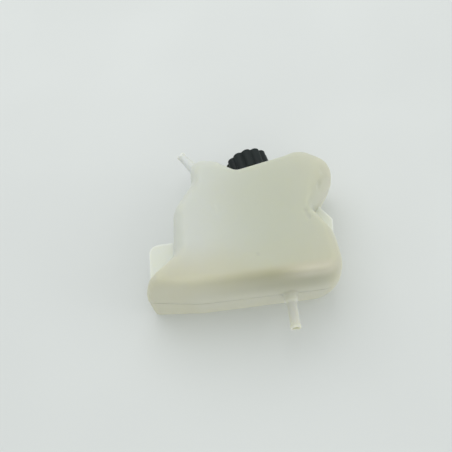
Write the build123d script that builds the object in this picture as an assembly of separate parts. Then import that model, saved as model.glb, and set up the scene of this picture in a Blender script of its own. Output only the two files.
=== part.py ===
from build123d import *

import math
import os

# Coolant expansion tank: one blow-moulded body with a filler neck, a vent nipple, an outlet
# spout and two webs in its parting plane, closed by a screwed cap that holds two valves.
# Millimetres. X runs to the right along the tank, Y to the back, Z up. The mould parts at Y = 0.
# The origin is the centre of the outlet's hose bead.

# Moulded body
WALL = 2.8
FRONT_DEPTH = 58.0
REAR_DEPTH = 44.0
ROUNDING = 2.3           # 2 is an elliptic edge, more is squarer
EDGE_STEPS = 5           # slices from the parting plane to a face

# Heights above the tank's floor
FLOOR_SAG = -4.0
TOE_LIFT = 6.0
TOE_RISE = 18.0
HIP_RISE = 51.0
WAIST_RISE = 45.0
NOTCH_RISE = 89.0
SHOULDER_RISE = 107.0
LOBE_FOOT_RISE = 139.0
CREASE_RISE = 145.0
SADDLE_RISE = 155.0
SADDLE_CLIMB = 14.0
LOBE_SIDE_RISE = 156.0
LOBE_RISE = 175.0
CREST_RISE = 186.5
CREST_FALL = 10.0         # from the crest's left end to its right

# Distances along X from the outlet's axis
FOOT_X = -170.0
TOE_X = -167.0
WAIST_X = -134.0
LEFT_X = -130.0
FLOOR_END_X = -108.0
CREST_X = -104.0
CREST_END_X = -69.0
SADDLE_X = -44.0
SADDLE_END_X = 23.0
LOBE_START_X = 31.0
NOTCH_X = 40.0
LOBE_TOP_X = 47.0
HIP_X = 63.0
BASE_X = 68.5
LOBE_X = 76.0

# Dimples in the lobe: the ball that presses them, and its centres from the lobe's foot in x and z
# and from the front face in y
DIMPLE_R = 10.0
DIMPLES = [(-12.3, 0.4, -7.3), (-17.6, 7.9, -29.5)]

# Filler neck and its seat
NECK_X = -23.6
NECK_TILT = 10.5         # degrees, towards -X
NECK_RISE = 20.0         # rim above the seat
NECK_BORE_R = 15.5
NECK_WALL = 3.3
SEAT_R = 24.0
SEAT_PROUD = 4.4
SEAT_DEPTH = 9.0
POCKET_GAP = 2.5         # finger room round the cap

# Hose connections
OUTLET_R = 6.0
OUTLET_BORE_R = 4.2
OUTLET_BOSS_R = 8.2
OUTLET_BOSS_DROP = 15.0
OUTLET_DROP = 48.0       # tip below the floor
NIPPLE_R = 5.3
NIPPLE_ROOT_R = 8.4
NIPPLE_BORE_R = 3.4
NIPPLE_ANGLE = 33.0      # degrees from upright, towards -X
NIPPLE_REACH = 48.0      # from the middle of the crest's corner to the tip
BEAD_HEIGHT = 0.7
BEAD_LENGTH = 3.0
BEAD_RAMP = 1.5

# Webs in the parting plane
WEB_THICK = 3.0
LEFT_WEB_X = -165.0
LEFT_WEB_RISE = 81.5
LEFT_WEB_R = 12.0
RIGHT_WEB_X = 68.5
RIGHT_WEB_RISE = 88.0
RIGHT_WEB_SLOPE = 55.0   # degrees of its upper edge
RIGHT_WEB_R = 3.0
WEB_ROOT = 10.0          # length sunk in the body

# Cap shell
CAP_R = 28.0             # over the lobes
CAP_HEIGHT = 26.0
CAP_TOP = 3.0
CAP_LOBES = 12
LOBE_R = 7.0
VALLEY_R = 1.0
CAP_EDGE_R = 2.5
CAP_DISH_R = 17.0
CAP_DISH_DEPTH = 0.8
THREAD_ROOM = 1.7        # radial room between the neck and the shell for the thread
FLAT_GAP = 0.3
ROUND_GAP = 0.4

# Valve insert, hung in the cap shell
GASKET_THICK = 2.0
GASKET_INSET = 0.5
FLANGE_THICK = 2.5
SNAP_LIP = 0.7
SNAP_THICK = 0.9
INSERT_GAP = 0.9         # between the insert and the neck's bore
INSERT_DEPTH = 22.0      # below the neck's rim
INSERT_WALL = 3.0
INSERT_FLOOR = 3.5
O_RING_R = 1.15
O_RING_RISE = 11.5       # its centre above the insert's floor
O_RING_GAP = 0.3
O_RING_SLACK = 0.05
VALVE_HOLE_R = 6.0
VALVE_LIP = 1.2
VALVE_LIP_RISE = 0.8

# Relief valve, vacuum valve and their springs
SEAL_R = 9.5
SEAL_HOLE_R = 3.6
SEAL_THICK = 1.5
RELIEF_GAP = 1.2         # round the relief plate
RELIEF_THICK = 2.5
RELIEF_HUB_R = 4.0
RELIEF_HUB_RISE = 1.7
BLEED_R = 0.6
BLEED_COUNT = 4
STEM_R = 1.5
STEM_GAP = 0.07
STEM_LENGTH = 11.2
VACUUM_GRIP = 1.2        # overlap of the vacuum plate on the seal
VACUUM_THICK = 1.2
CLIP_R = 3.4
CLIP_THICK = 1.0
RELIEF_SPRING_R = 8.2
RELIEF_WIRE_R = 0.8
RELIEF_COILS = 4.5
VACUUM_SPRING_R = 2.4
VACUUM_WIRE_R = 0.3
VACUUM_COILS = 4.0
SPRING_GAP = 0.1
STOP_THICK = 2.0
STOP_BELOW_FLANGE = 0.8
STOP_GRIP = 0.6
STOP_SLACK = 0.1
STOP_SKIRT = 1.7
STOP_SKIRT_WALL = 1.0
STOP_VENT_R = 3.5

# Levels of the body
TIP_Z = -BEAD_LENGTH / 2
FLOOR_Z = TIP_Z + OUTLET_DROP
SADDLE_Z = FLOOR_Z + SADDLE_RISE
CREST_Z = FLOOR_Z + CREST_RISE
LOBE_Z = FLOOR_Z + LOBE_RISE
NOTCH_Z = FLOOR_Z + NOTCH_RISE
HIP_Z = FLOOR_Z + HIP_RISE

# Levels and radii about the neck's axis, from the plane of its seat
NECK_R = NECK_BORE_R + NECK_WALL
SHELL_BORE_R = NECK_R + THREAD_ROOM + ROUND_GAP
FLANGE_R = SHELL_BORE_R - ROUND_GAP
INSERT_R = NECK_BORE_R - INSERT_GAP
CHAMBER_R = INSERT_R - INSERT_WALL
RELIEF_R = CHAMBER_R - RELIEF_GAP
FLANGE_Z = NECK_RISE + GASKET_THICK
FLANGE_TOP_Z = FLANGE_Z + FLANGE_THICK
CEILING_Z = FLANGE_TOP_Z + FLAT_GAP
CAP_TOP_Z = CEILING_Z + CAP_TOP
SKIRT_Z = CAP_TOP_Z - CAP_HEIGHT
INSERT_Z = NECK_RISE - INSERT_DEPTH
INSERT_FLOOR_Z = INSERT_Z + INSERT_FLOOR
SEAL_Z = INSERT_FLOOR_Z + VALVE_LIP_RISE
RELIEF_Z = SEAL_Z + SEAL_THICK
RELIEF_TOP_Z = RELIEF_Z + RELIEF_THICK
HUB_TOP_Z = RELIEF_TOP_Z + RELIEF_HUB_RISE
STEM_TOP_Z = SEAL_Z + STEM_LENGTH
CLIP_Z = STEM_TOP_Z - CLIP_THICK
STOP_Z = FLANGE_Z - STOP_BELOW_FLANGE - STOP_THICK

# Corners of the body, clockwise from the toe's foot: x, z and radius in the parting plane, then how
# far the front face's corner lies from it in x and z, the radius there, and the share of that
# distance by which the back face closes in.
CORNERS = [
    (FOOT_X, FLOOR_Z + TOE_LIFT, 6.0, 23.0, 4.0, 5.0, 0.1),
    (TOE_X, FLOOR_Z + TOE_RISE, 8.0, 23.0, 2.0, 6.0, 0.1),
    (WAIST_X, FLOOR_Z + WAIST_RISE, 14.0, 22.0, -3.0, 20.0, 0.6),
    (LEFT_X, FLOOR_Z + SHOULDER_RISE, 22.0, 17.0, -11.0, 20.0, 0.6),
    (CREST_X, FLOOR_Z + CREASE_RISE, 12.0, 14.0, -18.0, 14.0, 0.6),
    (CREST_X, CREST_Z, 15.0, 17.0, -40.0, 8.0, 0.6),
    (CREST_END_X, CREST_Z - CREST_FALL, 12.0, 2.0, -33.0, 8.0, 0.6),
    (SADDLE_X, SADDLE_Z, 10.0, -4.0, -20.0, 10.0, 0.6),
    (SADDLE_END_X, SADDLE_Z + SADDLE_CLIMB, 10.0, -6.0, -20.0, 5.0, 0.6),
    (LOBE_START_X, LOBE_Z, 8.0, -10.0, -27.0, 5.0, 0.6),
    (LOBE_TOP_X, LOBE_Z, 12.0, -18.0, -30.0, 5.0, 0.6),
    (LOBE_X, FLOOR_Z + LOBE_SIDE_RISE, 20.0, -38.0, -19.0, 8.0, 0.6),
    (LOBE_X, FLOOR_Z + LOBE_FOOT_RISE, 18.0, -38.0, -20.0, 10.0, 0.6),
    (NOTCH_X, NOTCH_Z, 8.0, -12.0, -13.0, 12.0, 0.6),
    (HIP_X, HIP_Z, 20.0, -18.0, 2.0, 18.0, 0.6),
    (BASE_X, FLOOR_Z + FLOOR_SAG, 26.0, -22.0, 5.0, 14.0, 1.7),
    (FLOOR_END_X, FLOOR_Z + FLOOR_SAG, 60.0, 0.0, 7.0, 60.0, 1.0),
]
CREST_CORNER = CORNERS[5]

# The neck's axis, from the middle of its seat
SADDLE_GRADE = SADDLE_CLIMB / (SADDLE_END_X - SADDLE_X)
NECK_SEAT_Z = SADDLE_Z + SADDLE_GRADE * (NECK_X - SADDLE_X) + SEAT_PROUD
NECK = Plane((NECK_X, 0, NECK_SEAT_Z)).rotated((0, -NECK_TILT, 0))

# The nipple's axis, from the middle of the crest's rounded corner
NIPPLE = Plane((CREST_X + CREST_CORNER[2], 0, CREST_Z - CREST_CORNER[2])).rotated((0, -NIPPLE_ANGLE, 0))


def cylinder(radius, low, high):
    """A round solid on the local Z axis between two levels."""
    return Pos(0, 0, low) * Cylinder(radius, high - low, align=(Align.CENTER, Align.CENTER, Align.MIN))


def ring(bore, radius, low, high):
    """A plain ring on the local Z axis."""
    return cylinder(radius, low, high) - cylinder(bore, low, high)


def coil(radius, wire, turns, low, high):
    """A round-wire spring standing between two levels."""
    rise = high - low - 2 * wire
    path = Pos(0, 0, low + wire) * Helix(rise / turns, rise, radius)
    return sweep(Plane(path @ 0, z_dir=path % 0) * Circle(wire), path=path, is_frenet=True)


def inset(corners, amount):
    """Moves a clockwise outline inwards, with its corner radii."""
    moved = []
    for index, (x, z, radius) in enumerate(corners):
        before = corners[index - 1]
        after = corners[(index + 1) % len(corners)]
        entry = Vector(x - before[0], z - before[1]).normalized()
        leave = Vector(after[0] - x, after[1] - z).normalized()
        right_turn = entry.Y * leave.X - entry.X * leave.Y
        shift = amount / (1 + entry.dot(leave))
        moved.append((
            x + shift * (entry.Y + leave.Y),
            z - shift * (entry.X + leave.X),
            radius - math.copysign(amount, right_turn),
        ))
    return moved


def between(first, second, share):
    """The outline that lies a share of the way from one outline to another."""
    return [[a + (b - a) * share for a, b in zip(*pair)] for pair in zip(first, second)]


def body_slice(corners, depth):
    """A slice of the body at a depth in front of the parting plane."""
    points = [(x, z) for x, z, _ in corners]
    radii = [radius for _, _, radius in corners]
    return Plane.XZ.offset(depth) * make_face(FilletPolyline(*points, radius=radii, close=True))


def pillow(skin):
    """The body's rounded form, lofted a skin's thickness inside its outer surface."""
    rim = inset([(x, z, radius) for x, z, radius, *_ in CORNERS], skin)
    front = inset([(x + dx, z + dz, radius) for x, z, _, dx, dz, radius, _ in CORNERS], skin)
    back = inset([
        (x + dx * share, z + dz * share, radius) for x, z, radius, dx, dz, _, share in CORNERS
    ], skin)
    slices = []
    for step in range(-EDGE_STEPS, EDGE_STEPS + 1):
        angle = math.pi / 2 * abs(step) / EDGE_STEPS
        face, depth = (back, REAR_DEPTH) if step > 0 else (front, FRONT_DEPTH)
        out = (depth - skin) * math.sin(angle) ** (2 / ROUNDING)
        closing = 1 - math.cos(angle) ** (2 / ROUNDING)
        slices.append(body_slice(between(rim, face, closing), math.copysign(out, -step)))
    return loft(slices)


def spigot(root_radius, radius, tip):
    """A hose tube up the local Z axis from its root, with a bead at the tip."""
    land = tip - BEAD_LENGTH
    profile = Polyline(
        (0, 0), (root_radius, 0), (radius, land - BEAD_RAMP), (radius + BEAD_HEIGHT, land),
        (radius + BEAD_HEIGHT, tip), (0, tip), close=True,
    )
    return revolve(Plane.XZ * make_face(profile), Axis.Z)


def web(points):
    """A flat web of the body in the parting plane."""
    return extrude(Plane.XZ * make_face(Polyline(*points, close=True)), WEB_THICK / 2, both=True)


def left_web():
    """The web in the angle between the left side and the toe."""
    high = FLOOR_Z + LEFT_WEB_RISE
    low = FLOOR_Z + TOE_RISE
    root = LEFT_X + WEB_ROOT
    plate = web([(root, high), (LEFT_WEB_X, high), (LEFT_WEB_X, low), (root, low)])
    corner = plate.edges().filter_by(Axis.Y).sort_by(Axis.X)[:2].sort_by(Axis.Z)[-1]
    return fillet(corner, LEFT_WEB_R)


def right_web():
    """The web that fills the notch under the lobe."""
    high = FLOOR_Z + RIGHT_WEB_RISE
    run = RIGHT_WEB_X - NOTCH_X
    climb = run * math.tan(math.radians(RIGHT_WEB_SLOPE))
    root = NOTCH_X - WEB_ROOT
    plate = web([
        (NOTCH_X, high + climb), (RIGHT_WEB_X, high), (HIP_X, HIP_Z), (root, HIP_Z), (root, NOTCH_Z),
    ])
    return fillet(plate.edges().filter_by(Axis.Y).sort_by(Axis.X)[-1], RIGHT_WEB_R)


def dimple_balls(radius):
    """Balls of a radius where the lobe is dimpled."""
    foot = FLOOR_Z + LOBE_FOOT_RISE
    return [Pos(LOBE_X + dx, dy - FRONT_DEPTH, foot + dz) * Sphere(radius) for dx, dy, dz in DIMPLES]


def tank_body():
    """The blown body with everything that is moulded in one with it."""
    pocket_r = CAP_R + POCKET_GAP
    outlet = Plane((0, 0, FLOOR_Z + WALL), z_dir=(0, 0, -1))
    outlet_length = WALL + OUTLET_DROP
    shape = pillow(0.0) - NECK * cylinder(pocket_r, 0, CAP_TOP_Z)
    shape -= dimple_balls(DIMPLE_R)
    shape += NECK * cylinder(SEAT_R, -SEAT_DEPTH, 0)
    shape += NECK * cylinder(NECK_R, -SEAT_DEPTH, NECK_RISE)
    shape += NIPPLE * spigot(NIPPLE_ROOT_R, NIPPLE_R, NIPPLE_REACH)
    shape += outlet * spigot(OUTLET_R, OUTLET_R, outlet_length)
    shape += outlet * cylinder(OUTLET_BOSS_R, 0, WALL + OUTLET_BOSS_DROP)
    shape += left_web()
    shape += right_web()
    hollow = pillow(WALL) - NECK * cylinder(pocket_r + WALL, -WALL, CAP_TOP_Z)
    hollow -= dimple_balls(DIMPLE_R + WALL)
    hollow += NECK * cylinder(NECK_BORE_R, -SEAT_DEPTH, NECK_RISE)
    hollow += NIPPLE * cylinder(NIPPLE_BORE_R, 0, NIPPLE_REACH)
    hollow += outlet * cylinder(OUTLET_BORE_R, -WALL, outlet_length)
    return shape - hollow


def cap_shell():
    """The lobed grip, hollow below its top, with a lip that the insert snaps over."""
    lobe_circle = CAP_R - LOBE_R
    lobes = [place * Circle(LOBE_R) for place in PolarLocations(lobe_circle, CAP_LOBES)]
    grip = Circle(lobe_circle) + lobes
    grip = fillet(grip.vertices(), VALLEY_R)
    shell = extrude(Pos(0, 0, SKIRT_Z) * grip, CAP_HEIGHT)
    shell = fillet(shell.faces().sort_by(Axis.Z)[-1].edges(), CAP_EDGE_R)
    shell -= cylinder(CAP_DISH_R, CAP_TOP_Z - CAP_DISH_DEPTH, CAP_TOP_Z)
    shell -= cylinder(SHELL_BORE_R, SKIRT_Z, CEILING_Z)
    lip_top = FLANGE_Z - FLAT_GAP
    return shell + ring(FLANGE_R - SNAP_LIP, SHELL_BORE_R, lip_top - SNAP_THICK, lip_top)


def valve_insert():
    """The cup that carries both valves: flange, O-ring groove, chamber and valve seat."""
    groove_r = NECK_BORE_R - O_RING_GAP - 2 * O_RING_R - O_RING_SLACK
    groove_z = INSERT_Z + O_RING_RISE
    groove_half = O_RING_R + O_RING_SLACK
    insert = cylinder(INSERT_R, INSERT_Z, FLANGE_Z) + cylinder(FLANGE_R, FLANGE_Z, FLANGE_TOP_Z)
    insert -= cylinder(CHAMBER_R, INSERT_FLOOR_Z, FLANGE_TOP_Z)
    insert += cylinder(VALVE_HOLE_R + VALVE_LIP, INSERT_FLOOR_Z, SEAL_Z)
    insert -= cylinder(VALVE_HOLE_R, INSERT_Z, SEAL_Z)
    insert -= ring(groove_r, INSERT_R, groove_z - groove_half, groove_z + groove_half)
    return insert - cylinder(CHAMBER_R + STOP_GRIP, STOP_Z - STOP_SLACK, STOP_Z + STOP_THICK + STOP_SLACK)


def insert_o_ring():
    """The ring that seals the insert in the neck's bore."""
    return Pos(0, 0, INSERT_Z + O_RING_RISE) * Torus(NECK_BORE_R - O_RING_GAP - O_RING_R, O_RING_R)


def relief_plate():
    """The plate that the relief spring presses on the seat, with bleed holes round the stem."""
    plate = cylinder(RELIEF_R, RELIEF_Z, RELIEF_TOP_Z) + cylinder(RELIEF_HUB_R, RELIEF_TOP_Z, HUB_TOP_Z)
    plate -= cylinder(STEM_R + STEM_GAP, RELIEF_Z, HUB_TOP_Z)
    bleed_circle = (STEM_R + SEAL_HOLE_R) / 2
    for place in PolarLocations(bleed_circle, BLEED_COUNT):
        plate -= place * cylinder(BLEED_R, RELIEF_Z, HUB_TOP_Z)
    return plate


def vacuum_valve():
    """The small plate under the seal and its stem through the relief plate."""
    plate = cylinder(SEAL_HOLE_R + VACUUM_GRIP, SEAL_Z - VACUUM_THICK, SEAL_Z)
    return plate + cylinder(STEM_R, SEAL_Z, STEM_TOP_Z)


def spring_stop():
    """The disc clipped into the chamber's mouth, with a skirt that centres the relief spring."""
    skirt_r = RELIEF_SPRING_R - RELIEF_WIRE_R - ROUND_GAP
    disc = cylinder(CHAMBER_R + STOP_GRIP - STOP_SLACK, STOP_Z, STOP_Z + STOP_THICK)
    disc += ring(skirt_r - STOP_SKIRT_WALL, skirt_r, STOP_Z - STOP_SKIRT, STOP_Z)
    return disc - cylinder(STOP_VENT_R, STOP_Z, STOP_Z + STOP_THICK)


ON_NECK = {
    "cap_shell": cap_shell(),
    "valve_insert": valve_insert(),
    "insert_o_ring": insert_o_ring(),
    "rim_gasket": ring(NECK_BORE_R + GASKET_INSET, NECK_R, NECK_RISE, FLANGE_Z),
    "spring_stop": spring_stop(),
    "relief_spring": coil(
        RELIEF_SPRING_R, RELIEF_WIRE_R, RELIEF_COILS, RELIEF_TOP_Z + SPRING_GAP, STOP_Z - SPRING_GAP
    ),
    "relief_plate": relief_plate(),
    "relief_seal": ring(SEAL_HOLE_R, SEAL_R, SEAL_Z, RELIEF_Z),
    "vacuum_valve": vacuum_valve(),
    "vacuum_spring": coil(
        VACUUM_SPRING_R, VACUUM_WIRE_R, VACUUM_COILS, HUB_TOP_Z + SPRING_GAP, CLIP_Z - SPRING_GAP
    ),
    "stem_clip": ring(STEM_R, CLIP_R, CLIP_Z, STEM_TOP_Z),
}

os.makedirs("parts", exist_ok=True)
export_step(tank_body(), "parts/tank_body.step")
for node, shape in ON_NECK.items():
    export_step(NECK * shape, f"parts/{node}.step")
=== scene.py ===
"""Dresses a packed coolant expansion tank and lays it on its back before the camera."""

import logging
import math
from dataclasses import dataclass, field
from enum import Enum
from typing import Any, ClassVar

import bmesh
import bpy
import numpy as np
from mathutils import Matrix, Vector


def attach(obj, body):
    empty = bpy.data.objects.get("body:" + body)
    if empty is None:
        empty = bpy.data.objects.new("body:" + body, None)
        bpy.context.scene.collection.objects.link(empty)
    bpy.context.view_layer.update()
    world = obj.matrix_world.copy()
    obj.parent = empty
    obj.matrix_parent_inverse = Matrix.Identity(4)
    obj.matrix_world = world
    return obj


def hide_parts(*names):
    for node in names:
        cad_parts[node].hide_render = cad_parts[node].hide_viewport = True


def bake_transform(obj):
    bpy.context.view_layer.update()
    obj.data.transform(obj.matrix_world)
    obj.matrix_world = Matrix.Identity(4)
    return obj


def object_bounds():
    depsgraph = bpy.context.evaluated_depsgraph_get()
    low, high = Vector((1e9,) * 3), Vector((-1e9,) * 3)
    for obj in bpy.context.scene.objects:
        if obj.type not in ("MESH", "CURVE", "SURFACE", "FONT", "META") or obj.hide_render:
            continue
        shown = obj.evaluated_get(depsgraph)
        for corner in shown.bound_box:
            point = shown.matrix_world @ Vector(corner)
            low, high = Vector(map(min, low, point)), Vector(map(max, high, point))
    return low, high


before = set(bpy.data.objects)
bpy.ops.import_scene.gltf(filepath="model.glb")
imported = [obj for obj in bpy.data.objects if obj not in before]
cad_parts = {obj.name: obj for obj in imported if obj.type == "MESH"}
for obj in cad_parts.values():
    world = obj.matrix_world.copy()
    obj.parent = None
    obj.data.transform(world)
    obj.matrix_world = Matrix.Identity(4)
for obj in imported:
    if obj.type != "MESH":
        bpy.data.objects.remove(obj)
CAD_BOX = [list(map(float, corner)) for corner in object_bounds()]

log = logging.getLogger("expansion_tank")

# Lengths are in metres unless a name or a docstring says otherwise.
MM = 0.001
Span = tuple[float, float]
Point = tuple[float, float, float]
Colour = tuple[float, float, float, float]
RISE: Span = (0.0, 1.0)
FALL: Span = (1.0, 0.0)


class Body(Enum):
    """The moving bodies that pieces ride on."""

    TANK = "tank"
    INSERT = "insert"
    CAP = "cap"
    RELIEF = "relief_valve"
    VACUUM = "vacuum_valve"


class Slot(Enum):
    """The record's material slots."""

    TANK = "tank_plastic"
    CAP = "cap_plastic"
    STEEL = "spring_steel"


class Value:
    """A number that a node gives out, written like a number in Python."""

    def __init__(self, graph: "Graph", socket: bpy.types.NodeSocket) -> None:
        """Keeps the socket and the graph that new nodes go to."""
        self.graph = graph
        self.socket = socket

    def _with(self, operation: str, first: Any, second: Any) -> "Value":
        """Adds one Math node.

        Args:
            operation: the Math node's operation.
            first: its first value or link.
            second: its second value or link.

        Returns:
            The node's result.
        """
        return self.graph.node("ShaderNodeMath", {"operation": operation}, {0: first, 1: second})

    def __add__(self, other: Any) -> "Value":
        """self + other."""
        return self._with("ADD", self, other)

    __radd__ = __add__

    def __sub__(self, other: Any) -> "Value":
        """self - other."""
        return self._with("SUBTRACT", self, other)

    def __rsub__(self, other: Any) -> "Value":
        """other - self."""
        return self._with("SUBTRACT", other, self)

    def __mul__(self, other: Any) -> "Value":
        """self * other."""
        return self._with("MULTIPLY", self, other)

    __rmul__ = __mul__

    def __abs__(self) -> "Value":
        """The value without its sign."""
        return self._with("ABSOLUTE", self, 0.0)


@dataclass(frozen=True)
class Grain:
    """A noise: its fineness per metre, its octaves and the weight of the finer ones."""

    scale: float
    detail: float = 2.0
    rough: float = 0.5


class Graph:
    """Adds nodes to a shader or geometry tree."""

    # The Mix node's colour sockets go by number, because sockets of other types share their names.
    MIX_FIRST: ClassVar[int] = 6
    MIX_SECOND: ClassVar[int] = 7
    MIX_RESULT: ClassVar[int] = 2

    def __init__(self, tree: bpy.types.NodeTree) -> None:
        """Keeps the tree."""
        self.tree = tree

    def node(
        self,
        kind: str,
        settings: dict[str, Any] | None = None,
        inputs: dict[Any, Any] | None = None,
        out: Any = 0,
    ) -> Value:
        """Adds a node of any kind.

        Args:
            kind: the node's type name.
            settings: its own properties, which are set first.
            inputs: values or links by socket name or number.
            out: the name or number of the socket to hand back.

        Returns:
            That output of the node, or its first input where it has no outputs.
        """
        made = self.tree.nodes.new(kind)
        for name, setting in (settings or {}).items():
            setattr(made, name, setting)
        for name, value in (inputs or {}).items():
            if isinstance(value, Value):
                self.tree.links.new(value.socket, made.inputs[name])
            else:
                made.inputs[name].default_value = value
        return Value(self, made.outputs[out]) if made.outputs else Value(self, made.inputs[0])

    def outputs(
        self, kind: str, names: tuple[str, ...], inputs: dict[Any, Any] | None = None
    ) -> list[Value]:
        """Adds a node that gives out several values.

        Args:
            kind: the node's type name.
            names: the names of the sockets to hand back.
            inputs: values or links by socket name or number.

        Returns:
            Those outputs of the node, in the order of their names.
        """
        sockets = self.node(kind, None, inputs).socket.node.outputs
        return [Value(self, sockets[name]) for name in names]

    def mix(self, share: Any, first: Any, second: Any) -> Value:
        """Blends two colours.

        Args:
            share: how much of the second colour shows.
            first: the colour at 0.
            second: the colour at 1.

        Returns:
            The blended colour.
        """
        colours = {self.MIX_FIRST: first, self.MIX_SECOND: second}
        return self.node(
            "ShaderNodeMix", {"data_type": "RGBA"}, {"Factor": share, **colours}, out=self.MIX_RESULT
        )

    def noise(self, where: Value, grain: Grain) -> Value:
        """A noise value between 0 and 1.

        Args:
            where: the coordinates.
            grain: how fine it is.

        Returns:
            The noise.
        """
        return self.node(
            "ShaderNodeTexNoise", None,
            {"Vector": where, "Scale": grain.scale, "Detail": grain.detail, "Roughness": grain.rough},
        )

    def spread(self, value: Value, reach: Span, result: Span = RISE) -> Value:
        """Maps a range to another, smoothly and clamped.

        Args:
            value: the value to map.
            reach: where its range starts and ends.
            result: what comes out at the start and at the end.

        Returns:
            The mapped value.
        """
        low, high = reach
        new_low, new_high = result
        return self.node(
            "ShaderNodeMapRange", {"interpolation_type": "SMOOTHSTEP"},
            {"Value": value, "From Min": low, "From Max": high, "To Min": new_low, "To Max": new_high},
        )

    def distance(self, where: Value, place: Point) -> Value:
        """How far the coordinates lie from a place."""
        ends = {0: where, 1: place}
        return self.node("ShaderNodeVectorMath", {"operation": "DISTANCE"}, ends, out="Value")

    def bump(self, height: Value, distance: float, strength: float) -> Value:
        """A bumped normal.

        Args:
            height: the height, from 0 to 1.
            distance: metres that a height of 1 stands for.
            strength: how much of it shows.

        Returns:
            The normal.
        """
        return self.node(
            "ShaderNodeBump", None, {"Height": height, "Distance": distance, "Strength": strength}
        )

    def looked_at(self) -> Value:
        """Tells the rays that show a surface from those that only light it.

        Returns:
            1 for rays that the camera sees straight, in a gloss or through glass, and 0 for the rest.
        """
        seen, gloss, glass = self.outputs(
            "ShaderNodeLightPath", ("Is Camera Ray", "Is Glossy Ray", "Is Transmission Ray")
        )
        clamped_sum = {"operation": "ADD", "use_clamp": True}
        return self.node("ShaderNodeMath", clamped_sum, {0: seen + gloss, 1: glass})


class Finish:
    """A material made of nodes on Object coordinates."""

    name: ClassVar[str] = "finish"

    def material(self) -> bpy.types.Material:
        """Makes the material, or hands back the one that is already there.

        Returns:
            The material.
        """
        found = bpy.data.materials.get(self.name)
        if found:
            return found
        made = bpy.data.materials.new(self.name)
        made.use_nodes = True
        made.node_tree.nodes.clear()
        graph = Graph(made.node_tree)
        where = graph.node("ShaderNodeTexCoord", out="Object")
        self.paint(graph, where)
        return made

    def paint(self, graph: Graph, where: Value) -> None:
        """Adds the finish's nodes.

        Args:
            graph: the material's graph.
            where: Object coordinates, in metres.
        """
        raise NotImplementedError

    @staticmethod
    def surface(graph: Graph, **inputs: Any) -> None:
        """Ends a material in one Principled shader.

        Args:
            graph: the material's graph.
            inputs: its sockets, with underscores for spaces.
        """
        named = {key.replace("_", " "): value for key, value in inputs.items()}
        shader = graph.node("ShaderNodeBsdfPrincipled", None, named)
        graph.node("ShaderNodeOutputMaterial", None, {"Surface": shader})


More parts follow.
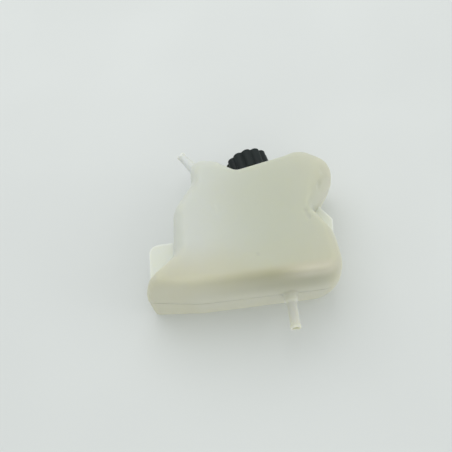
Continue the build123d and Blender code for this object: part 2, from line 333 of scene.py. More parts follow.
@dataclass(frozen=True)
class MilkyPlastic(Finish):
    """Blown polyethylene that lets light through: yellowed and a little dusty, with painted light and
    painted shade in places.
    """

    name: ClassVar[str] = "milky_plastic"
    clear: Colour = (0.62, 0.64, 0.575, 1.0)
    aged: Colour = (0.58, 0.565, 0.43, 1.0)
    # Painted shade below the neck, where the neck and cap would shade the wall from behind.
    painted_neck_shade: Colour = (0.49, 0.51, 0.395, 1.0)
    # Painted light where light would come through thin plastic: the webs, the nipple and the spout.
    pale: Colour = (0.67, 0.69, 0.655, 1.0)
    dusty: Colour = (0.50, 0.49, 0.40, 1.0)
    # Painted light on the underside.
    painted_underside_light: Colour = (0.63, 0.615, 0.475, 1.0)
    # Painted shade on the underside's front half.
    painted_underside_shade: Colour = (0.44, 0.43, 0.30, 1.0)
    # Painted light on the heel's front edge, where the underside turns towards the light.
    painted_edge_light: Colour = (0.61, 0.585, 0.465, 1.0)
    stain_foot: Span = (50 * MM, 110 * MM)
    stain_side: Span = (-60 * MM, 70 * MM)
    side_share: float = 0.8
    clouds: Grain = Grain(12.0)
    cloud_range: Span = (0.30, 0.70)
    cloud_shift: Span = (-0.12, 0.12)
    neck_shade: Point = (-8 * MM, 0.0, 78 * MM)
    neck_squash: Point = (1.0, 0.0, 0.6)
    neck_reach: Span = (10 * MM, 110 * MM)
    neck_share: float = 0.75
    floor_reach: Span = (49 * MM, 60 * MM)
    front_reach: Span = (-30 * MM, 0.0)
    # Where the painted shade on the underside's front half starts and ends along X, and how much of it stays
    # at the right end.
    shade_start: Span = (-140 * MM, 0.0)
    shade_end: Span = (25 * MM, 65 * MM)
    shade_rest: float = 0.25
    heel_side: Span = (-25 * MM, 25 * MM)
    heel_front: Span = (-34 * MM, -50 * MM)
    web_reach: Span = (1.6 * MM, 2.3 * MM)
    web_share: float = 0.9
    web_foot: Span = (52 * MM, 80 * MM)
    web_foot_share: float = 0.3
    nipple_foot: Span = (212 * MM, 240 * MM)
    nipple_share: float = 0.85
    spout_foot: Span = (46 * MM, 38 * MM)
    spout_share: float = 0.45
    dust: Grain = Grain(160.0, detail=4.0, rough=0.65)
    dust_range: Span = (0.62, 0.80)
    dust_share: float = 0.15
    grain: Grain = Grain(900.0)
    grain_share: float = 0.25
    swell: Grain = Grain(45.0)
    relief: float = 0.4 * MM
    relief_strength: float = 0.5
    sheen: Grain = Grain(60.0, detail=3.0)
    least_rough: float = 0.42
    sheen_share: float = 0.14
    milkiness: float = 0.85
    depth: Point = (1.0, 0.97, 0.72)
    scatter: float = 8 * MM
    refraction: float = 1.5

    def paint(self, graph: Graph, where: Value) -> None:
        """Milky colour, stained and dusty, with painted light and painted shade in places, and grain.

        Args:
            graph: the material's graph.
            where: Object coordinates, in metres.
        """
        x, y, z = graph.outputs("ShaderNodeSeparateXYZ", ("X", "Y", "Z"), {0: where})
        colour = self.stained(graph, where, x, z)
        colour = self.painted_underside(graph, colour, x, y, z)
        colour = self.painted_light_through(graph, colour, y, z)
        dust = graph.spread(graph.noise(where, self.dust), self.dust_range)
        colour = graph.mix(dust * self.dust_share, colour, self.dusty)
        height = graph.noise(where, self.grain) * self.grain_share + graph.noise(where, self.swell)
        self.surface(
            graph,
            Base_Color=colour,
            Roughness=self.least_rough + self.sheen_share * graph.noise(where, self.sheen),
            Normal=graph.bump(height, self.relief, self.relief_strength),
            Subsurface_Weight=self.milkiness,
            Subsurface_Radius=self.depth,
            Subsurface_Scale=self.scatter,
            IOR=self.refraction,
        )

    def stained(self, graph: Graph, where: Value, x: Value, z: Value) -> Value:
        """Yellows the foot and the right side in soft clouds, and paints shade on the body below the neck.

        Args:
            graph: the material's graph.
            where: Object coordinates, in metres.
            x: the coordinates to the right.
            z: the coordinates upwards.

        Returns:
            The colour.
        """
        foot = graph.spread(z, self.stain_foot, FALL)
        side = graph.spread(x, self.stain_side, (0.0, self.side_share))
        clouds = graph.spread(graph.noise(where, self.clouds), self.cloud_range, self.cloud_shift)
        colour = graph.mix(1 - (1 - foot) * (1 - side) + clouds, self.clear, self.aged)
        # Painted shade on the body below the neck.
        flat = graph.node(
            "ShaderNodeVectorMath", {"operation": "MULTIPLY"}, {0: where, 1: self.neck_squash}
        )
        neck = graph.spread(graph.distance(flat, self.neck_shade), self.neck_reach, (self.neck_share, 0.0))
        return graph.mix(neck, colour, self.painted_neck_shade)

    def painted_underside(self, graph: Graph, colour: Value, x: Value, y: Value, z: Value) -> Value:
        """Paints light on the underside, shade along its front half and light on the heel's front edge.

        Args:
            graph: the material's graph.
            colour: the colour so far.
            x: the coordinates to the right.
            y: the coordinates to the back.
            z: the coordinates upwards.

        Returns:
            The colour.
        """
        # Painted light on the underside, with painted shade on its front half and painted light on the
        # heel's front edge.
        painted_underside_light = graph.spread(z, self.floor_reach, FALL)
        # Painted shade along the underside's front half.
        underside_shade = graph.spread(x, self.shade_start) * graph.spread(x, self.shade_end, (1.0, self.shade_rest))
        underside_shade = underside_shade * painted_underside_light * graph.spread(y, self.front_reach, FALL)
        # Painted light on the heel's front edge.
        heel = painted_underside_light * graph.spread(x, self.heel_side) * graph.spread(y, self.heel_front)
        colour = graph.mix(underside_shade, graph.mix(painted_underside_light, colour, self.painted_underside_light), self.painted_underside_shade)
        return graph.mix(heel, colour, self.painted_edge_light)

    def painted_light_through(self, graph: Graph, colour: Value, y: Value, z: Value) -> Value:
        """Paints light on the webs, the nipple and the spout, where light would come through the thin
        plastic.

        Args:
            graph: the material's graph.
            colour: the colour so far.
            y: the coordinates to the back.
            z: the coordinates upwards.

        Returns:
            The colour.
        """
        # Painted light through the thin webs, nipple and spout.
        web = graph.spread(abs(y), self.web_reach, (self.web_share, 0.0))
        web = web * graph.spread(z, self.web_foot, (self.web_foot_share, 1.0))
        nipple = graph.spread(z, self.nipple_foot, (0.0, self.nipple_share))
        spout = graph.spread(z, self.spout_foot, (0.0, self.spout_share))
        return graph.mix(1 - (1 - web) * (1 - nipple) * (1 - spout), colour, self.pale)


@dataclass(frozen=True)
class SeamPlastic(MilkyPlastic):
    """The same plastic on the fine ridges, where light goes less deep."""

    name: ClassVar[str] = "seam_plastic"
    # A duller colour for the painted light through thin plastic on the ridges.
    pale: Colour = (0.61, 0.61, 0.50, 1.0)
    scatter: float = 1.5 * MM


@dataclass(frozen=True)
class MouldedPlastic(Finish):
    """Dark moulded plastic with a fine grain and a dusty bloom."""

    name: ClassVar[str] = "moulded_plastic"
    colour: Colour = (0.004, 0.009, 0.009, 1.0)
    dusty: Colour = (0.012, 0.019, 0.019, 1.0)
    bloom: Grain = Grain(90.0, detail=4.0, rough=0.6)
    bloom_range: Span = (0.45, 0.75)
    least_rough: float = 0.52
    bloom_rough: float = 0.18
    grain: Grain = Grain(1800.0)
    relief: float = 0.2 * MM
    relief_strength: float = 0.35
    gloss: float = 0.3

    def paint(self, graph: Graph, where: Value) -> None:
        """Dark plastic, duller and lighter in its bloom.

        Args:
            graph: the material's graph.
            where: Object coordinates, in metres.
        """
        bloom = graph.spread(graph.noise(where, self.bloom), self.bloom_range)
        self.surface(
            graph,
            Base_Color=graph.mix(bloom, self.colour, self.dusty),
            Roughness=self.least_rough + self.bloom_rough * bloom,
            Normal=graph.bump(graph.noise(where, self.grain), self.relief, self.relief_strength),
            Specular_IOR_Level=self.gloss,
        )


@dataclass(frozen=True)
class InsertPlastic(MouldedPlastic):
    """Dark grey plastic of the cap's inner cup."""

    name: ClassVar[str] = "insert_plastic"
    colour: Colour = (0.055, 0.055, 0.057, 1.0)
    dusty: Colour = (0.090, 0.088, 0.084, 1.0)
    least_rough: float = 0.45


@dataclass(frozen=True)
class SealRubber(MouldedPlastic):
    """Matt black rubber."""

    name: ClassVar[str] = "seal_rubber"
    colour: Colour = (0.012, 0.012, 0.012, 1.0)
    dusty: Colour = (0.030, 0.029, 0.028, 1.0)
    least_rough: float = 0.68


@dataclass(frozen=True)
class TurnedMetal(Finish):
    """Bright metal with dull patches and fine marks."""

    name: ClassVar[str] = "spring_steel"
    colour: Colour = (0.60, 0.60, 0.59, 1.0)
    dull: Colour = (0.42, 0.41, 0.39, 1.0)
    patches: Grain = Grain(400.0, detail=3.0)
    patch_range: Span = (0.40, 0.70)
    least_rough: float = 0.28
    patch_rough: float = 0.2
    marks: Grain = Grain(5000.0, detail=1.0)
    relief: float = 0.05 * MM
    relief_strength: float = 0.3

    def paint(self, graph: Graph, where: Value) -> None:
        """Metal, rougher and darker in its patches.

        Args:
            graph: the material's graph.
            where: Object coordinates, in metres.
        """
        patches = graph.spread(graph.noise(where, self.patches), self.patch_range)
        self.surface(
            graph,
            Base_Color=graph.mix(patches, self.colour, self.dull),
            Metallic=1.0,
            Roughness=self.least_rough + self.patch_rough * patches,
            Normal=graph.bump(graph.noise(where, self.marks), self.relief, self.relief_strength),
        )


@dataclass(frozen=True)
class ValveBrass(TurnedMetal):
    """Turned brass."""

    name: ClassVar[str] = "valve_brass"
    colour: Colour = (0.74, 0.55, 0.26, 1.0)
    dull: Colour = (0.46, 0.32, 0.15, 1.0)
    least_rough: float = 0.30


@dataclass(frozen=True)
class PaleTable(Finish):
    """The pale table top, which is seen from above alone and fades out far from the tank."""

    name: ClassVar[str] = "pale_table"
    colour: Point = (0.70, 0.72, 0.71)
    tint: Grain = Grain(4.0)
    tint_range: Span = (0.3, 0.7)
    tint_scale: Span = (0.97, 1.0)
    rough: float = 0.6
    middle: Point = (-0.04, 0.0, 0.13)
    fade: Span = (0.7, 1.5)

    def paint(self, graph: Graph, where: Value) -> None:
        """A matt top that lets light through from behind to the tank's back.

        Args:
            graph: the material's graph.
            where: Object coordinates, in metres.
        """
        tint = graph.spread(graph.noise(where, self.tint), self.tint_range, self.tint_scale)
        colour = graph.node(
            "ShaderNodeVectorMath", {"operation": "SCALE"}, {0: self.colour, "Scale": tint}
        )
        top = graph.node("ShaderNodeBsdfPrincipled", None, {"Base Color": colour, "Roughness": self.rough})
        clear = graph.node("ShaderNodeBsdfTransparent")
        above = 1 - graph.node("ShaderNodeNewGeometry", out="Backfacing")
        near = graph.spread(graph.distance(where, self.middle), self.fade, FALL)
        shown = graph.looked_at() * above * near
        shader = graph.node("ShaderNodeMixShader", None, {0: shown, 1: clear, 2: top})
        graph.node("ShaderNodeOutputMaterial", None, {"Surface": shader})


def dress(node: str, finish: Finish) -> None:
    """Gives a CAD node its finish.

    Args:
        node: the CAD node's name.
        finish: the finish.
    """
    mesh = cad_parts[node].data
    mesh.materials.clear()
    mesh.materials.append(finish.material())
    log.info("dressed %s in %s", node, finish.name)


def add_object(name: str, data: bpy.types.ID) -> bpy.types.Object:
    """Puts a mesh, a lamp or a camera in the scene.

    Args:
        name: the object's name.
        data: what it shows.

    Returns:
        The object.
    """
    made = bpy.data.objects.new(name, data)
    bpy.context.scene.collection.objects.link(made)
    return made


def settled(shape: bpy.types.Object) -> bpy.types.Mesh:
    """Runs an object's modifiers.

    Args:
        shape: the object.

    Returns:
        Its result as a plain mesh.
    """
    return bpy.data.meshes.new_from_object(shape.evaluated_get(bpy.context.evaluated_depsgraph_get()))


def seat_piece(piece: bpy.types.Object, body: Body) -> None:
    """Ties a finished piece to its body.

    Args:
        piece: the finished object.
        body: the body that it moves with.
    """
    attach(piece, body.value)
    log.info("%s rides on %s, %d faces", piece.name, body.value, len(piece.data.polygons))


class Recipe:
    """A geometry tree with named sizes that is run once and gives a plain mesh."""

    def __init__(self, name: str) -> None:
        """Starts a tree that has an output and takes nothing yet.

        Args:
            name: the name of the tree and of the piece that it makes.
        """
        self.name = name
        self.tree = bpy.data.node_groups.new(name, "GeometryNodeTree")
        self.graph = Graph(self.tree)
        self.tree.interface.new_socket("Geometry", in_out="OUTPUT", socket_type="NodeSocketGeometry")
        self.entry = self.tree.nodes.new("NodeGroupInput")
        self.sizes: dict[str, float] = {}

    def take(self, name: str, kind: str) -> Value:
        """Adds an input of any kind.

        Args:
            name: the input's name.
            kind: its socket type.

        Returns:
            The input's link.
        """
        socket = self.tree.interface.new_socket(name, in_out="INPUT", socket_type=kind)
        found = next(out for out in self.entry.outputs if out.identifier == socket.identifier)
        return Value(self.graph, found)

    def size(self, name: str, value: float) -> Value:
        """Adds a size and remembers its value.

        Args:
            name: the size's name.
            value: what it is set to when the tree runs.

        Returns:
            The size's link.
        """
        link = self.take(name, "NodeSocketFloat")
        self.sizes[link.socket.identifier] = value
        return link

    def helix(self, steps: int, turns: Value, radius: Value, height: Value) -> Value:
        """A helix of one radius that rises from the origin.

        Args:
            steps: its points in each turn.
            turns: its turns.
            radius: its radius.
            height: its whole rise.

        Returns:
            The curve.
        """
        return self.graph.node("GeometryNodeCurveSpiral", None, {
            "Resolution": steps, "Rotations": turns, "Start Radius": radius, "End Radius": radius,
            "Height": height,
        })

    def wire(self, path: Value, radius: Value, sides: int) -> Value:
        """A round wire with closed ends along a curve.

        Args:
            path: the curve.
            radius: the wire's radius.
            sides: the points round it.

        Returns:
            The wire, shaded smooth.
        """
        node = self.graph.node
        ring = node("GeometryNodeCurvePrimitiveCircle", None, {"Resolution": sides, "Radius": radius})
        swept = node("GeometryNodeCurveToMesh", None, {
            "Curve": path, "Profile Curve": ring, "Fill Caps": True,
        })
        return node("GeometryNodeSetShadeSmooth", None, {"Geometry": swept})

    def run(self, shape: Value, finish: Finish, start: bpy.types.Mesh | None = None) -> bpy.types.Object:
        """Ends the tree, runs it and keeps its result.

        Args:
            shape: the geometry to keep.
            finish: its finish.
            start: a mesh that the tree works on, if it takes one.

        Returns:
            A plain object named like the tree.
        """
        whole = self.graph.node("GeometryNodeRealizeInstances", None, {"Geometry": shape})
        painted = self.graph.node(
            "GeometryNodeSetMaterial", None, {"Geometry": whole, "Material": finish.material()}
        )
        self.graph.node("NodeGroupOutput", None, {"Geometry": painted})
        holder = add_object(f"{self.name}_recipe", start or bpy.data.meshes.new(self.name))
        modifier = holder.modifiers.new(self.name, "NODES")
        modifier.node_group = self.tree
        for identifier, value in self.sizes.items():
            modifier[identifier] = value
        mesh = settled(holder)
        bpy.data.objects.remove(holder)
        return add_object(self.name, mesh)


@dataclass(frozen=True)
class FaceMark:
    """A bare bar, crease or dot that the mould leaves on the front face, turned in degrees from level."""

    middle: Span
    half_length: float
    half_width: float
    proud: float
    turn: float = 0.0

    def raised(self, places: np.ndarray) -> np.ndarray:
        """How far the mark stands out of the face.

        Args:
            places: points, one per row.

        Returns:
            The distance for each, less than nothing where the mark is sunk.
        """
        turn = math.radians(self.turn)
        along = np.array([math.cos(turn), math.sin(turn)])
        across = places[:, [0, 2]] - np.array(self.middle)
        across -= np.clip(across @ along, -self.half_length, self.half_length)[:, None] * along
        away = np.linalg.norm(across, axis=1) / self.half_width
        return self.proud * np.exp(-away ** 2)


@dataclass
class BlownBody:
    """The blown body, softened as a parison takes its mould, with the marks of that mould."""

    finish: Finish = field(default_factory=MilkyPlastic)
    voxel: float = 1.0 * MM
    soften: int = 8
    soften_face: int = 240
    soften_share: float = 0.5
    face_edge: Span = (12 * MM, 24 * MM)
    face_share: float = 0.25
    face_levels: int = 20
    toe_height: Span = (95 * MM, 62 * MM)
    toe_reach: Span = (20 * MM, -80 * MM)
    most_triangles: int = 150_000
    merge: float = 0.001 * MM
    crown: float = 3.2 * MM
    crown_centre: Span = (-40 * MM, 118 * MM)
    crown_half: Span = (125 * MM, 98 * MM)
    crown_rise: Span = (15 * MM, 55 * MM)
    bar: FaceMark = FaceMark(
        middle=(-76.5 * MM, 139 * MM), half_length=4.0 * MM, half_width=2.4 * MM, proud=0.6 * MM, turn=-70.0
    )
    dot: FaceMark = FaceMark(
        middle=(-33.8 * MM, 72 * MM), half_length=0.0, half_width=2.2 * MM, proud=-0.9 * MM
    )
    crease: FaceMark = FaceMark(
        middle=(32 * MM, 117 * MM), half_length=5.0 * MM, half_width=3.6 * MM, proud=-2.2 * MM, turn=-78.0
    )

    def build(self) -> None:
        """Makes the soft shell in the solid's place."""
        mesh = self.sculpted(self.evened())
        shell = add_object("blown_body", mesh)
        share = self.most_triangles / sum(len(face.vertices) - 2 for face in mesh.polygons)
        if share < 1.0:
            thin = shell.modifiers.new("thin", "DECIMATE")
            thin.ratio = share
            shell.data = settled(shell)
            shell.modifiers.clear()
        shell.data.shade_smooth()
        shell.data.materials.clear()
        shell.data.materials.append(self.finish.material())
        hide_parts("tank_body")
        seat_piece(shell, Body.TANK)

    def evened(self) -> bpy.types.Mesh:
        """Copies the solid with even faces and its edges rounded.

        Returns:
            The new mesh.
        """
        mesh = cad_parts["tank_body"].data.copy()
        whole = bmesh.new()
        whole.from_mesh(mesh)
        bmesh.ops.remove_doubles(whole, verts=whole.verts, dist=self.merge)
        whole.to_mesh(mesh)
        whole.free()
        copy = add_object("tank_copy", mesh)
        even = copy.modifiers.new("even", "REMESH")
        even.mode = "VOXEL"
        even.voxel_size = self.voxel
        copy.data = settled(copy)
        copy.modifiers.clear()
        self.add_smooth(copy, self.soften, "")
        self.weigh_faces(copy)
        self.add_smooth(copy, self.soften_face, "faces")
        result = settled(copy)
        bpy.data.objects.remove(copy)
        return result

    def add_smooth(self, shape: bpy.types.Object, turns: int, group: str) -> None:
        """Adds a smoothing to an object.

        Args:
            shape: the object.
            turns: how often each point moves its share of the way to its neighbours.
            group: the vertex group that it works on, or nothing for all points.
        """
        smooth = shape.modifiers.new("soften", "SMOOTH")
        smooth.factor = self.soften_share
        smooth.iterations = turns
        smooth.vertex_group = group

    def weigh_faces(self, shape: bpy.types.Object) -> None:
        """Marks the points away from the parting plane, where the mould's edges are widely rounded.

        The toe's front edge is rounded most, and its back edge stays as it is.

        Args:
            shape: the object that gets the vertex group.
        """
        group = shape.vertex_groups.new(name="faces")
        x, y, z = self.points(shape.data).T
        toe = self.ramp(z, *self.toe_height) * self.ramp(x, *self.toe_reach)
        front = self.face_share + (1.0 - self.face_share) * toe
        back = self.face_share * (1.0 - toe)
        weights = self.ramp(np.abs(y), *self.face_edge) * np.where(y < 0.0, front, back)
        levels = np.round(weights * self.face_levels).astype(int)
        for level in range(1, self.face_levels + 1):
            group.add(np.flatnonzero(levels == level).tolist(), level / self.face_levels, "REPLACE")

    @staticmethod
    def points(mesh: bpy.types.Mesh) -> np.ndarray:
        """Reads a mesh's points.

        Args:
            mesh: the mesh.

        Returns:
            The points, one per row.
        """
        places = np.empty(len(mesh.vertices) * 3)
        mesh.vertices.foreach_get("co", places)
        return places.reshape(-1, 3)

    @staticmethod
    def ramp(values: np.ndarray, start: float, full: float) -> np.ndarray:
        """A smooth rise from 0 at start to 1 at full."""
        share = np.clip((values - start) / (full - start), 0.0, 1.0)
        return share * share * (3.0 - 2.0 * share)

    def sculpted(self, mesh: bpy.types.Mesh) -> bpy.types.Mesh:
        """Draws the front face's border back from its middle and adds the face's marks.

        Args:
            mesh: the even mesh.

        Returns:
            The same mesh, moved.
        """
        places = self.points(mesh)
        marks = sum(mark.raised(places) for mark in (self.bar, self.dot, self.crease))
        proud = self.crown * (self.window(places) - 1.0) + marks
        places[:, 1] -= proud * self.ramp(-places[:, 1], *self.crown_rise)
        mesh.vertices.foreach_set("co", places.ravel())
        mesh.update()
        return mesh

    def window(self, places: np.ndarray) -> np.ndarray:
        """The share of the crown that each point of the front face takes.

        Args:
            places: points, one per row.

        Returns:
            1 in the middle of the face and 0 at its edges.
        """
        across = (places[:, [0, 2]] - np.array(self.crown_centre)) / np.array(self.crown_half)
        return np.cos(np.clip(across, -1.0, 1.0) * math.pi / 2).prod(axis=1)


@dataclass
class PartingBead:
    """The fine ridge that the mould's halves leave round the body.

    The rim's start, corners and end lie in the parting plane, as X and Z in millimetres, and each
    corner has its rounding's radius.
    """

    finish: Finish = field(default_factory=SeamPlastic)
    radius: float = 0.45 * MM
    sides: int = 8
    arc_points: int = 7
    start: Span = (6.0, 211.95)
    corners: tuple[Point, ...] = (
        (23, 215.5, 10), (31, 221.5, 8), (47, 221.5, 12), (76, 202.5, 20), (76, 185.5, 18),
        (40, 135.5, 8), (63, 97.5, 20), (68.5, 42.5, 26), (-108, 42.5, 60), (-170, 52.5, 6),
        (-167, 64.5, 8), (-134, 91.5, 14), (-130, 153.5, 22), (-104, 191.5, 12), (-104, 233, 15),
    )
    end: Span = (-74.0, 224.43)

    def build(self) -> None:
        """Sweeps the ridge along the body's rim."""
        line = bpy.data.meshes.new("rim_line")
        points = [(x * MM, 0.0, z * MM) for x, z in self.route()]
        line.from_pydata(points, [(i, i + 1) for i in range(len(points) - 1)], [])
        recipe = Recipe("parting_bead")
        rim = recipe.take("Rim", "NodeSocketGeometry")
        radius = recipe.size("Radius", self.radius)
        path = recipe.graph.node("GeometryNodeMeshToCurve", None, {"Mesh": rim})
        bead = recipe.wire(path, radius, self.sides)
        seat_piece(recipe.run(bead, self.finish, line), Body.TANK)

    def route(self) -> list[Span]:
        """The rim's line with its corners rounded.

        Returns:
            Points in the parting plane, in millimetres.
        """
        line = [self.start, *((x, z) for x, z, _ in self.corners), self.end]
        points = [self.start]
        for index, (_, _, radius) in enumerate(self.corners, start=1):
            corner = Vector(line[index])
            back = (Vector(line[index - 1]) - corner).normalized()
            on = (Vector(line[index + 1]) - corner).normalized()
            half = back.angle(on) / 2
            reach = radius / math.tan(half)
            middle = corner + (back + on).normalized() * (radius / math.sin(half))
            first, last = corner + back * reach - middle, corner + on * reach - middle
            for step in range(self.arc_points + 1):
                spoke = first.lerp(last, step / self.arc_points).normalized() * radius
                points.append(tuple(middle + spoke))
        return [*points, self.end]


@dataclass(frozen=True)
class NeckAxis:
    """The filler neck's leaning axis, which the cap, its threads and its valves share."""

    seat: Point = (-23.6 * MM, 0.0, 210.163 * MM)
    lean: float = math.radians(-10.5)

    def point(self, level: float) -> Vector:
        """The axis's point at a level above the neck's seat."""
        return Vector(self.seat) + Vector((math.sin(self.lean), 0.0, math.cos(self.lean))) * level

    def stand(self, recipe: Recipe, shape: Value, level: float) -> Value:
        """Stands a shape that was made upright at the origin on the axis.

        Args:
            recipe: the tree that makes the shape.
            shape: the shape.
            level: where its foot goes, above the neck's seat.

        Returns:
            The shape in its place.
        """
        return recipe.graph.node("GeometryNodeTransform", None, {
            "Geometry": shape, "Translation": self.point(level), "Rotation": (0.0, self.lean, 0.0),
        })


@dataclass
class ScrewThread:
    """A screw ridge round the filler neck's axis, which fades out over a share of its length at each end."""

    name: str
    body: Body
    slot: Slot
    finish: Finish
    radius: float
    outwards: bool
    base: float
    turns: float
    pitch: float = 4.0 * MM
    height: float = 1.9 * MM
    root_width: float = 2.0 * MM
    crest_width: float = 0.9 * MM
    steps: int = 72
    fade: float = 0.06
    axis: NeckAxis = NeckAxis()

    def build(self) -> None:
        """Sweeps the ridge up its helix."""
        recipe = Recipe(self.name)
        radius = recipe.size("Radius", self.radius)
        pitch = recipe.size("Pitch", self.pitch)
        turns = recipe.size("Turns", self.turns)
        height = recipe.size("Height", self.height)
        root = recipe.size("Root width", self.root_width)
        crest = recipe.size("Crest width", self.crest_width)
        fade = recipe.size("Fade", 1.0 / self.fade)
        node = recipe.graph.node
        helix = recipe.helix(self.steps, turns, radius, pitch * turns)
        upright = node("GeometryNodeSetCurveNormal", {"mode": "Z_UP"}, {"Curve": helix})
        shape = node("GeometryNodeCurvePrimitiveQuadrilateral", {"mode": "TRAPEZOID"}, {
            "Bottom Width": root, "Top Width": crest, "Offset": 0.0, "Height": height,
        })
        quarter = math.pi / 2
        profile = node("GeometryNodeTransform", None, {
            "Geometry": shape, "Rotation": (0.0, 0.0, -quarter if self.outwards else quarter),
        })
        along = node("GeometryNodeSplineParameter")
        nearest = node("ShaderNodeMath", {"operation": "MINIMUM"}, {0: along, 1: 1 - along})
        full = node("ShaderNodeMath", {"operation": "MINIMUM"}, {0: nearest * fade, 1: 1.0})
        ridge = node("GeometryNodeCurveToMesh", None, {
            "Curve": upright, "Profile Curve": profile, "Scale": full, "Fill Caps": True,
        })
        placed = self.axis.stand(recipe, ridge, self.base)
        seat_piece(recipe.run(placed, self.finish), self.body)


@dataclass
class CoilSpring:
    """A wire spring between two bodies."""

    name: str
    node: str
    foot: Body
    head: Body
    radius: float
    wire: float
    turns: float
    low: float
    high: float
    steps: int = 40
    sides: int = 10
    axis: NeckAxis = NeckAxis()

    def build(self, finish: Finish) -> None:
        """Winds the wire in the solid spring's place.

        Args:
            finish: the wire's finish.
        """
        recipe = Recipe(self.name)
        radius = recipe.size("Radius", self.radius)
        wire = recipe.size("Wire radius", self.wire)
        turns = recipe.size("Turns", self.turns)
        length = recipe.size("Length", self.high - self.low)
        helix = recipe.helix(self.steps, turns, radius, length - 2 * wire)
        coil = recipe.wire(helix, wire, self.sides)
        spring = recipe.run(self.axis.stand(recipe, coil, self.low + self.wire), finish)
        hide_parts(self.node)
        self.axis.point(self.low)
        self.axis.point(self.high)
        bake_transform(spring)
        log.info("%s stands between %s and %s", self.name, self.foot.value, self.head.value)


@dataclass
class PressureCap:
    """The screw cap and the valves that it carries."""

    grip: Finish = field(default_factory=MouldedPlastic)
    cup: Finish = field(default_factory=InsertPlastic)
    rubber: Finish = field(default_factory=SealRubber)
    steel: Finish = field(default_factory=TurnedMetal)
    brass: Finish = field(default_factory=ValveBrass)
    springs: tuple[CoilSpring, ...] = (
        CoilSpring(
            "relief_coil", "relief_spring", Body.RELIEF, Body.INSERT,
            radius=8.2 * MM, wire=0.8 * MM, turns=4.5, low=6.4 * MM, high=19.1 * MM,
        ),
        CoilSpring(
            "vacuum_coil", "vacuum_spring", Body.RELIEF, Body.VACUUM,
            radius=2.4 * MM, wire=0.3 * MM, turns=4.0, low=8.1 * MM, high=12.4 * MM,
        ),
    )

    def build(self) -> None:
        """Dresses the cap's pieces and winds its springs."""
        dress("cap_shell", self.grip)
        for node in ("valve_insert", "spring_stop"):
            dress(node, self.cup)
        for node in ("insert_o_ring", "rim_gasket", "relief_seal"):
            dress(node, self.rubber)
        dress("stem_clip", self.steel)
        for node in ("relief_plate", "vacuum_valve"):
            dress(node, self.brass)
        for spring in self.springs:
            spring.build(self.steel)


@dataclass(frozen=True)
class Lamp:
    """A soft square lamp: where it hangs, what it shines on, its side and its power in watts."""

    name: str
    place: Point
    target: Point
    side: float
    watts: float

    def hang(self) -> None:
        """Adds the lamp to the scene."""
        light = bpy.data.lights.new(self.name, "AREA")
        light.energy = self.watts
        light.size = self.side
        holder = add_object(self.name, light)
        holder.location = self.place
        ahead = Vector(self.target) - Vector(self.place)
        holder.rotation_euler = ahead.to_track_quat("-Z", "Y").to_euler()


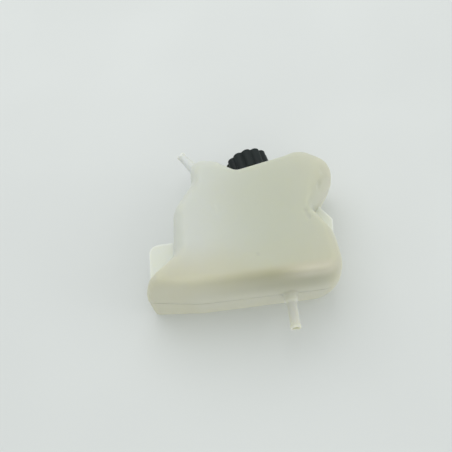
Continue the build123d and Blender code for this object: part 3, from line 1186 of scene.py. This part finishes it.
@dataclass
class Studio:
    """Table, lights and camera, with the tank lying on its back.

    The camera faces the table, tilted towards the tank's top by look_up and rolled by lean, both in
    degrees. Its lens follows from a focal length and an image width in pixels.
    """

    table_gap: float = 0.5 * MM
    table_half: float = 3.0
    key: Lamp = Lamp("key", (-0.35, -1.5, 1.0), (-0.04, 0.0, 0.14), side=1.8, watts=9.6)
    fill: Lamp = Lamp("fill", (1.6, -0.9, -0.1), (-0.04, 0.0, 0.10), side=1.6, watts=6.0)
    back: Lamp = Lamp("back", (0.7, 1.6, 0.9), (-0.04, 0.0, 0.12), side=1.2, watts=6.0)
    room_light: Colour = (0.93, 0.96, 0.95, 1.0)
    room_strength: float = 0.80
    room_seen: Colour = (0.72, 0.74, 0.73, 1.0)
    seen_strength: float = 1.0
    eye: Point = (-0.0658, -0.6932, -0.2253)
    look_up: float = 28.0
    lean: float = 7.0
    focal_px: float = 621.0
    image_px: float = 452.0
    sensor_mm: float = 36.0

    def build(self) -> None:
        """Makes everything that is not the tank."""
        self.table()
        for lamp in (self.key, self.fill, self.back):
            lamp.hang()
        self.room()
        self.camera()

    def table(self) -> None:
        """Lays the table top against the tank's back."""
        level = CAD_BOX[1][1] + self.table_gap
        half = self.table_half
        mesh = bpy.data.meshes.new("table")
        corners = [(-half, level, -half), (half, level, -half), (half, level, half), (-half, level, half)]
        mesh.from_pydata(corners, [], [(0, 1, 2, 3)])
        mesh.materials.append(PaleTable().material())
        add_object("table", mesh)

    def room(self) -> None:
        """Makes a pale world, which lights the tank in one colour and is seen in another."""
        world = bpy.data.worlds.new("pale_room")
        world.use_nodes = True
        world.node_tree.nodes.clear()
        graph = Graph(world.node_tree)
        light, seen = (
            graph.node("ShaderNodeBackground", None, {"Color": colour, "Strength": strength})
            for colour, strength in (
                (self.room_light, self.room_strength), (self.room_seen, self.seen_strength)
            )
        )
        both = graph.node("ShaderNodeMixShader", None, {0: graph.looked_at(), 1: light, 2: seen})
        graph.node("ShaderNodeOutputWorld", None, {"Surface": both})
        bpy.context.scene.world = world

    def camera(self) -> None:
        """Sets the camera as the photographer held it."""
        up_angle = math.radians(self.look_up)
        lean = math.radians(self.lean)
        ahead = Vector((0.0, math.cos(up_angle), math.sin(up_angle)))
        level_up = Vector((0.0, -math.sin(up_angle), math.cos(up_angle)))
        level_right = Vector((1.0, 0.0, 0.0))
        up = level_up * math.cos(lean) + level_right * math.sin(lean)
        right = level_right * math.cos(lean) - level_up * math.sin(lean)
        data = bpy.data.cameras.new("camera")
        data.sensor_width = self.sensor_mm
        data.lens = self.focal_px / self.image_px * self.sensor_mm
        camera = add_object("camera", data)
        turn = Matrix((right, up, -ahead)).transposed().to_4x4()
        camera.matrix_world = Matrix.Translation(self.eye) @ turn
        bpy.context.scene.camera = camera


def main() -> None:
    """Builds the scene in order."""
    logging.basicConfig(level=logging.INFO, format="%(name)s: %(message)s")
    bpy.context.scene.view_settings.view_transform = "Standard"
    BlownBody().build()
    PartingBead().build()
    ScrewThread(
        "neck_thread", Body.TANK, Slot.TANK, SeamPlastic(),
        radius=19.35 * MM, outwards=True, base=4.5 * MM, turns=2.75,
    ).build()
    ScrewThread(
        "cap_thread", Body.CAP, Slot.CAP, MouldedPlastic(),
        radius=20.35 * MM, outwards=False, base=6.5 * MM, turns=2.0,
    ).build()
    PressureCap().build()
    Studio().build()


if __name__ == "__main__":
    main()
